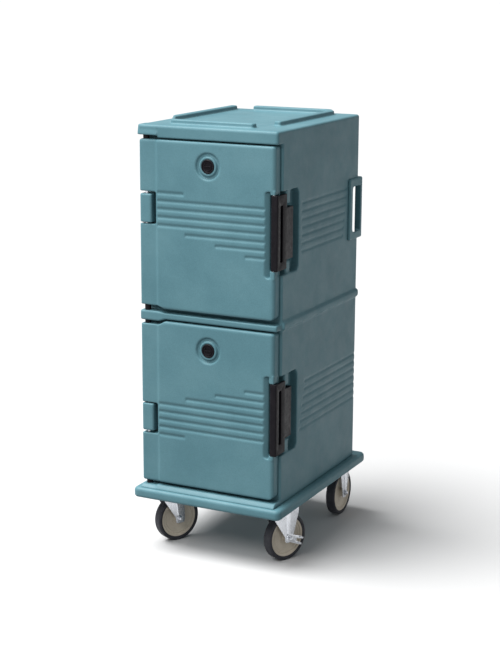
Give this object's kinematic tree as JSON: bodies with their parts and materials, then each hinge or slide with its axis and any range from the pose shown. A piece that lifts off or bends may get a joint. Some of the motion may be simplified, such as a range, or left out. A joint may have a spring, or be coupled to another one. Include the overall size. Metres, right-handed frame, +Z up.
{
  "type": "insulated food pan cart",
  "caption": "Tall double-walled insulated cabinet with two side-hinged doors, nylon latches, pan rails, side grips and a bumper base on swivel and rigid casters.",
  "frame": {"origin": "on the floor under the middle of the bumper base", "axes": "+Z up, doors face -Y, hinges on the -X side and latches on the +X side"},
  "size_m": [0.521, 0.689, 1.38],
  "materials": {
    "cabinet_polyethylene": "satin rotomoulded, slate blue",
    "insulation_foam": "matte, closed-cell foam",
    "black_nylon": "satin",
    "gasket_silicone": "matte",
    "tyre_rubber": "matte",
    "wheel_nylon": "satin",
    "zinc_steel": "bright zinc plate"
  },
  "bodies": {
    "cabinet": {"cabinet_shell": "cabinet_polyethylene", "cabinet_foam_core": "insulation_foam", "foam_fill_plug": "black_nylon", "left_handle": "cabinet_polyethylene", "right_handle": "cabinet_polyethylene", "upper_hinge_rod": "zinc_steel", "lower_hinge_rod": "zinc_steel", "upper_door_top_bushing": "black_nylon", "upper_door_bottom_bushing": "black_nylon", "lower_door_top_bushing": "black_nylon", "lower_door_bottom_bushing": "black_nylon", "base_bumper": "cabinet_polyethylene", "front_left_top_plate": "zinc_steel", "front_left_swivel_bearing": "zinc_steel", "front_left_kingpin": "zinc_steel", "front_right_top_plate": "zinc_steel", "front_right_swivel_bearing": "zinc_steel", "front_right_kingpin": "zinc_steel", "rear_left_rigid_fork": "zinc_steel", "rear_left_axle_bolt": "zinc_steel", "rear_right_rigid_fork": "zinc_steel", "rear_right_axle_bolt": "zinc_steel"},
    "upper_door": {"upper_door_shell": "cabinet_polyethylene", "upper_door_foam_core": "insulation_foam", "upper_door_gasket": "gasket_silicone", "upper_vent_tube": "black_nylon", "upper_latch_pin": "zinc_steel"},
    "upper_latch": {"upper_latch": "black_nylon"},
    "upper_vent_cap": {"upper_vent_cap": "black_nylon"},
    "lower_door": {"lower_door_shell": "cabinet_polyethylene", "lower_door_foam_core": "insulation_foam", "lower_door_gasket": "gasket_silicone", "lower_vent_tube": "black_nylon", "lower_latch_pin": "zinc_steel"},
    "lower_latch": {"lower_latch": "black_nylon"},
    "lower_vent_cap": {"lower_vent_cap": "black_nylon"},
    "front_left_swivel": {"front_left_fork": "zinc_steel", "front_left_axle_bolt": "zinc_steel"},
    "front_right_swivel": {"front_right_fork": "zinc_steel", "front_right_axle_bolt": "zinc_steel"},
    "front_right_brake": {"front_right_brake_lever": "zinc_steel"},
    "front_left_wheel": {"front_left_tyre": "tyre_rubber", "front_left_wheel_core": "wheel_nylon"},
    "front_right_wheel": {"front_right_tyre": "tyre_rubber", "front_right_wheel_core": "wheel_nylon"},
    "rear_left_wheel": {"rear_left_tyre": "tyre_rubber", "rear_left_wheel_core": "wheel_nylon"},
    "rear_right_wheel": {"rear_right_tyre": "tyre_rubber", "rear_right_wheel_core": "wheel_nylon"}
  },
  "joints": [
    {"name": "upper_door_hinge", "type": "hinge", "parent": "cabinet", "child": "upper_door", "pos_m": [-0.217, -0.307, 1.06], "axis": [0, 0, 1], "range_deg": [-180, 0]},
    {"name": "lower_door_hinge", "type": "hinge", "parent": "cabinet", "child": "lower_door", "pos_m": [-0.217, -0.307, 0.494], "axis": [0, 0, 1], "range_deg": [-180, 0]},
    {"name": "upper_latch_pivot", "type": "hinge", "parent": "upper_door", "child": "upper_latch", "pos_m": [0.2215, -0.316, 1.0635], "axis": [0, 0, 1], "range_deg": [-90, 0]},
    {"name": "lower_latch_pivot", "type": "hinge", "parent": "lower_door", "child": "lower_latch", "pos_m": [0.2215, -0.316, 0.4875], "axis": [0, 0, 1], "range_deg": [-90, 0]},
    {"name": "upper_vent_turn", "type": "hinge", "parent": "upper_door", "child": "upper_vent_cap", "pos_m": [0.004, -0.325, 1.25], "axis": [0, 1, 0], "range_deg": [0, 90]},
    {"name": "lower_vent_turn", "type": "hinge", "parent": "lower_door", "child": "lower_vent_cap", "pos_m": [0.004, -0.325, 0.681], "axis": [0, 1, 0], "range_deg": [0, 90]},
    {"name": "front_left_swivel_turn", "type": "hinge", "parent": "cabinet", "child": "front_left_swivel", "pos_m": [-0.197, -0.248, 0.172], "axis": [0, 0, 1], "continuous": true},
    {"name": "front_left_wheel_spin", "type": "hinge", "parent": "front_left_swivel", "child": "front_left_wheel", "pos_m": [-0.17608, -0.20816, 0.0762], "axis": [0.8854, -0.4648, 0], "continuous": true},
    {"name": "front_right_swivel_turn", "type": "hinge", "parent": "cabinet", "child": "front_right_swivel", "pos_m": [0.197, -0.248, 0.172], "axis": [0, 0, 1], "continuous": true},
    {"name": "front_right_wheel_spin", "type": "hinge", "parent": "front_right_swivel", "child": "front_right_wheel", "pos_m": [0.21466, -0.20661, 0.0762], "axis": [0.9198, -0.3923, 0], "continuous": true},
    {"name": "front_right_brake_pedal", "type": "hinge", "parent": "front_right_swivel", "child": "front_right_brake", "pos_m": [0.21466, -0.20661, 0.0762], "axis": [0.9198, -0.3923, 0], "range_deg": [-22, 0]},
    {"name": "rear_left_wheel_spin", "type": "hinge", "parent": "cabinet", "child": "rear_left_wheel", "pos_m": [-0.197, 0.263, 0.0762], "axis": [1, 0, 0], "continuous": true},
    {"name": "rear_right_wheel_spin", "type": "hinge", "parent": "cabinet", "child": "rear_right_wheel", "pos_m": [0.197, 0.263, 0.0762], "axis": [1, 0, 0], "continuous": true}
  ]
}
